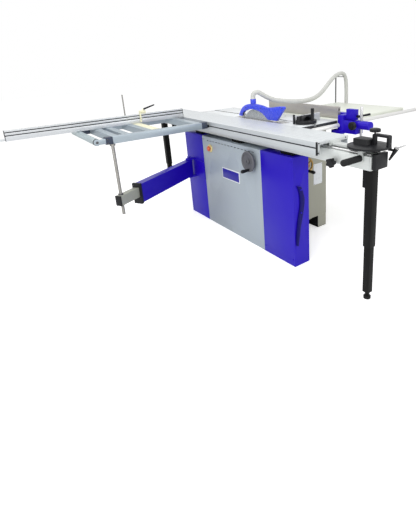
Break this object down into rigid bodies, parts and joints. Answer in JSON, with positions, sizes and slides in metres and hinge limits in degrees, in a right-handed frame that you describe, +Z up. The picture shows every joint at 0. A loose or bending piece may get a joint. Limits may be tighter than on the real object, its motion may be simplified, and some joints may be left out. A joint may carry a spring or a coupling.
{
  "type": "sliding table saw",
  "caption": "Cabinet saw with a sliding carriage, an outrigger with a crosscut fence, a tilting guarded blade, a rip fence and a dust hose.",
  "frame": {"origin": "on the floor below the saw arbor, on the underside of the front skid, in the plane of the blade", "axes": "+X towards the operator's end along the carriage's travel, +Y towards the rip fence side, +Z up"},
  "size_m": [2.6543, 2.91, 1.1408],
  "materials": {
    "grey_paint": "semi-matt",
    "blue_paint": "satin",
    "silver_paint": "satin",
    "black_paint": "semi-matt",
    "light_paint": "semi-matt",
    "ground_iron": "ground",
    "iron": "cast",
    "anodised": "anodised",
    "bright_steel": "brushed",
    "dark_steel": "brushed",
    "black_plastic": "matt",
    "guard_plastic": "gloss",
    "grey_plastic": "matt",
    "yellow_plastic": "matt",
    "red_plastic": "gloss",
    "brass": "polished",
    "belt_rubber": "matt"
  },
  "bodies": {
    "base": {"base_frame": "black_paint", "main_cabinet": "grey_paint", "case_cover_left": "blue_paint", "case_cover_centre": "silver_paint", "case_cover_right": "blue_paint", "stop_housing": "yellow_plastic", "cast_iron_table": "ground_iron", "table_insert": "bright_steel", "extension_table": "light_paint", "extension_brackets": "black_paint", "fence_rail": "bright_steel", "guide_beam": "anodised", "beam_end_caps": "black_plastic", "beam_supports": "black_paint", "trunnions": "iron", "dust_hose": "grey_plastic", "rear_fittings": "black_plastic", "hose_mast": "dark_steel", "arm_hub": "blue_paint"},
    "left_leg": {"leg_inner_left": "black_paint"},
    "right_leg": {"leg_inner_right": "black_paint"},
    "tilt": {"tilt_frame": "iron"},
    "scoring": {"scoring_blade": "dark_steel"},
    "lift": {"lift_frame": "iron", "drive_motor": "grey_paint", "drive_belt": "belt_rubber", "riving_knife": "bright_steel"},
    "arbor": {"saw_arbor": "dark_steel", "saw_blade": "dark_steel"},
    "motor_shaft": {"motor_pulley": "dark_steel"},
    "guard": {"blade_guard": "guard_plastic"},
    "stop": {"stop_button": "red_plastic"},
    "tilt_wheel": {"tilt_handwheel": "iron"},
    "lift_wheel": {"lift_handwheel": "brass"},
    "stick": {"push_stick": "black_plastic"},
    "carriage": {"carriage_deck": "anodised", "carriage_end_plates": "anodised", "bearing_blocks": "dark_steel", "handle_bracket": "anodised", "operator_handles": "black_plastic"},
    "top_knob": {"handle_knob": "black_plastic"},
    "lever": {"clamp_lever": "black_plastic"},
    "beam_lock": {"lock_knob": "black_plastic"},
    "outrigger": {"outrigger_frame": "anodised", "outrigger_caps": "black_plastic", "outrigger_fittings": "bright_steel"},
    "roller": {"outrigger_roller": "grey_plastic"},
    "fence": {"crosscut_fence": "anodised"},
    "fence_slider": {"fence_extension": "anodised"},
    "length_stop": {"flip_stop": "black_plastic"},
    "finger": {"stop_finger": "anodised"},
    "arm": {"swing_arm": "blue_paint"},
    "inner_arm": {"arm_inner_tube": "bright_steel"},
    "post": {"support_post": "bright_steel"},
    "carrier": {"rail_carrier": "blue_paint"},
    "rip": {"rip_fence": "anodised"},
    "clamp_knob": {"carrier_knob": "black_plastic"},
    "cam_lever": {"carrier_lever": "black_plastic"},
    "gauge": {"gauge_bar": "bright_steel"},
    "gauge_fence": {"gauge_head": "black_plastic"}
  },
  "joints": [
    {"name": "left_leg_height", "type": "slide", "parent": "base", "child": "left_leg", "axis": [0, 0, 1], "range_m": [-0.085, 0.035]},
    {"name": "right_leg_height", "type": "slide", "parent": "base", "child": "right_leg", "axis": [0, 0, 1], "range_m": [0, 0.12]},
    {"name": "blade_tilt", "type": "hinge", "parent": "base", "child": "tilt", "pos_m": [0, 0, 0.86], "axis": [1, 0, 0], "range_deg": [0, 45]},
    {"name": "scoring_spin", "type": "hinge", "parent": "tilt", "child": "scoring", "pos_m": [0.238, 0, 0.822], "axis": [0, 1, 0], "continuous": true},
    {"name": "blade_height", "type": "slide", "parent": "tilt", "child": "lift", "axis": [0, 0, 1], "range_m": [-0.09, 0.02]},
    {"name": "blade_spin", "type": "hinge", "parent": "lift", "child": "arbor", "pos_m": [0, 0, 0.735], "axis": [0, 1, 0], "continuous": true},
    {"name": "motor_spin", "type": "hinge", "parent": "lift", "child": "motor_shaft", "pos_m": [0, 0, 0.43], "axis": [0, 1, 0], "continuous": true},
    {"name": "guard_height", "type": "slide", "parent": "lift", "child": "guard", "axis": [0, 0, 1], "range_m": [-0.02, 0.09]},
    {"name": "stop_press", "type": "slide", "parent": "base", "child": "stop", "axis": [0, 1, 0], "range_m": [0, 0.005], "stiffness_N_per_m": 2000},
    {"name": "tilt_wheel_turn", "type": "hinge", "parent": "base", "child": "tilt_wheel", "pos_m": [0.218, -0.247, 0.631], "axis": [0, 1, 0], "range_deg": [0, 900]},
    {"name": "lift_wheel_turn", "type": "hinge", "parent": "base", "child": "lift_wheel", "pos_m": [0.342, 0.165, 0.542], "axis": [1, 0, 0], "range_deg": [-2070, 460]},
    {"name": "push_stick_off", "type": "slide", "parent": "base", "child": "stick", "axis": [1, 0, 0], "range_m": [0, 0.25]},
    {"name": "carriage_travel", "type": "slide", "parent": "base", "child": "carriage", "axis": [1, 0, 0], "range_m": [-0.78, 0.9]},
    {"name": "top_knob_turn", "type": "hinge", "parent": "carriage", "child": "top_knob", "pos_m": [1.12, -0.12, 0.93], "axis": [0, 0, 1], "continuous": true},
    {"name": "clamp_lever_turn", "type": "hinge", "parent": "carriage", "child": "lever", "pos_m": [1.18, -0.079, 0.83], "axis": [0, 0, 1], "range_deg": [-8, 25]},
    {"name": "beam_lock_turn", "type": "hinge", "parent": "base", "child": "beam_lock", "pos_m": [0.934, -0.22, 0.75], "axis": [0, 1, 0], "continuous": true},
    {"name": "outrigger_shift", "type": "slide", "parent": "carriage", "child": "outrigger", "axis": [1, 0, 0], "range_m": [-0.3, 0.5]},
    {"name": "roller_spin", "type": "hinge", "parent": "outrigger", "child": "roller", "pos_m": [-0.485, -1.072, 0.838], "axis": [1, 0, 0], "continuous": true},
    {"name": "fence_angle", "type": "hinge", "parent": "outrigger", "child": "fence", "pos_m": [-0.616, -0.3685, 0.86], "axis": [0, 0, 1], "range_deg": [0, 45]},
    {"name": "fence_extend", "type": "slide", "parent": "fence", "child": "fence_slider", "axis": [0, -1, 0], "range_m": [0, 0.34]},
    {"name": "length_stop_shift", "type": "slide", "parent": "fence", "child": "length_stop", "axis": [0, 1, 0], "range_m": [-0.8, 0.28]},
    {"name": "stop_finger_flip", "type": "hinge", "parent": "length_stop", "child": "finger", "pos_m": [-0.5957, -0.637, 0.941], "axis": [0, 1, 0], "range_deg": [-110, 0]},
    {"name": "arm_swing", "type": "hinge", "parent": "base", "child": "arm", "pos_m": [-0.62, -0.275, 0.43], "axis": [0, 0, 1], "range_deg": [-28, 44]},
    {"name": "arm_extend", "type": "slide", "parent": "arm", "child": "inner_arm", "axis": [0.4994, -0.8664, 0], "range_m": [-0.1, 0.22]},
    {"name": "post_height", "type": "slide", "parent": "inner_arm", "child": "post", "axis": [0, 0, 1], "range_m": [-0.06, 0]},
    {"name": "rip_carrier_travel", "type": "slide", "parent": "base", "child": "carrier", "axis": [0, 1, 0], "range_m": [-0.09, 0.69]},
    {"name": "rip_fence_shift", "type": "slide", "parent": "carrier", "child": "rip", "axis": [1, 0, 0], "range_m": [-0.1, 0.03]},
    {"name": "carrier_knob_turn", "type": "hinge", "parent": "carrier", "child": "clamp_knob", "pos_m": [0.658, 0.28, 0.843], "axis": [0, 1, 0], "continuous": true},
    {"name": "cam_lever_turn", "type": "hinge", "parent": "carrier", "child": "cam_lever", "pos_m": [0.651, 0.338, 0.895], "axis": [1, 0, 0], "range_deg": [-30, 35]},
    {"name": "gauge_travel", "type": "slide", "parent": "base", "child": "gauge", "axis": [1, 0, 0], "range_m": [-0.45, 0.1]},
    {"name": "gauge_angle", "type": "hinge", "parent": "gauge", "child": "gauge_fence", "pos_m": [0.414, 0.095, 0.87], "axis": [0, 0, 1], "range_deg": [-45, 45]}
  ],
  "couplings": [
    {"joint": "motor_spin", "follows": "blade_spin", "ratio": 0.8},
    {"joint": "guard_height", "follows": "blade_height", "ratio": -1},
    {"joint": "tilt_wheel_turn", "follows": "blade_tilt", "ratio": 20},
    {"joint": "lift_wheel_turn", "follows": "blade_height", "rad_per_m": 400}
  ]
}
